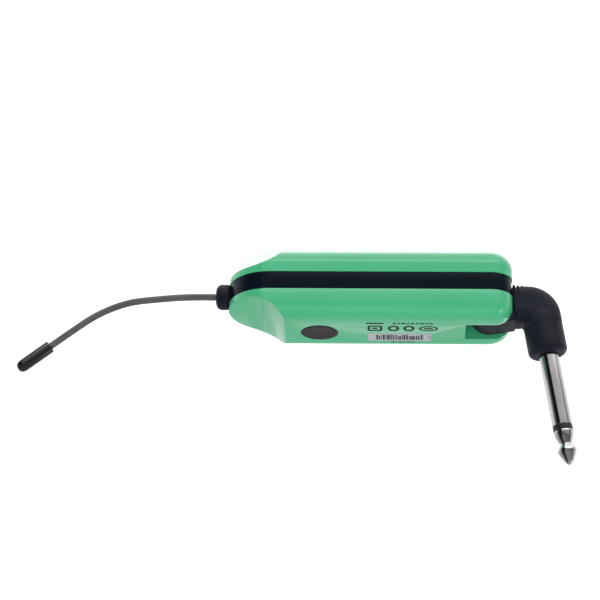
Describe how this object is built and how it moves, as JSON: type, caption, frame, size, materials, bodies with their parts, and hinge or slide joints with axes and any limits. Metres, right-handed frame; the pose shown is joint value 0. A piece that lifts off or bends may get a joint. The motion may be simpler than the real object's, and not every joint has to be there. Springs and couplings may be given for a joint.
{
  "type": "wireless guitar transmitter",
  "caption": "Pocket wireless guitar transmitter in mint green with a dark centre band, a hinged right-angled jack plug, a whip antenna and a power button.",
  "frame": {"origin": "on the flat rest face, in the middle of the housing's length and width", "axes": "+Z out of the button face, +X towards the hinge and plug end, +Y to the side away from the charging socket"},
  "size_m": [0.177, 0.0304, 0.0671],
  "materials": {
    "green_shell": "gloss",
    "dark_band": "gloss",
    "black_rubber": "satin",
    "black_plastic": "satin",
    "gloss_black": "gloss",
    "cable_sheath": "satin",
    "button_face": "satin",
    "plated_metal": "polished",
    "steel": "satin",
    "board": "satin",
    "lens": "gloss",
    "foam": "matte",
    "cell_foil": "satin",
    "white_plastic": "satin",
    "sticker_film": "satin"
  },
  "bodies": {
    "housing": {"button_side_shell": "green_shell", "rest_side_shell": "green_shell", "centre_band": "dark_band", "circuit_board": "board", "board_screws": "steel", "tact_switch": "black_plastic", "status_led": "lens", "rf_shield_can": "steel", "battery_foam": "foam", "battery_cell": "cell_foil", "battery_connector": "white_plastic", "charge_socket": "steel", "socket_tongue": "black_plastic", "hinge_pin": "steel", "friction_washers": "white_plastic", "antenna_grommet": "black_rubber", "antenna_feed": "cable_sheath", "antenna_cable": "cable_sheath", "antenna_cap": "gloss_black", "id_sticker": "sticker_film"},
    "arm": {"arm_knuckle": "black_plastic", "arm_boot": "black_rubber", "plug_sleeve": "plated_metal", "plug_insulator": "black_plastic", "plug_tip": "plated_metal", "ground_lug": "steel", "signal_lead": "cable_sheath"},
    "button": {"power_button": "button_face", "switch_plunger": "black_plastic"}
  },
  "joints": [
    {"name": "arm_hinge", "type": "hinge", "parent": "housing", "child": "arm", "pos_m": [0.03835, 0, 0.0154], "axis": [0, -1, 0], "range_deg": [0, 99]},
    {"name": "power_button_press", "type": "slide", "parent": "housing", "child": "button", "axis": [0, 0, -1], "range_m": [0, 0.0005], "stiffness_N_per_m": 1200}
  ]
}
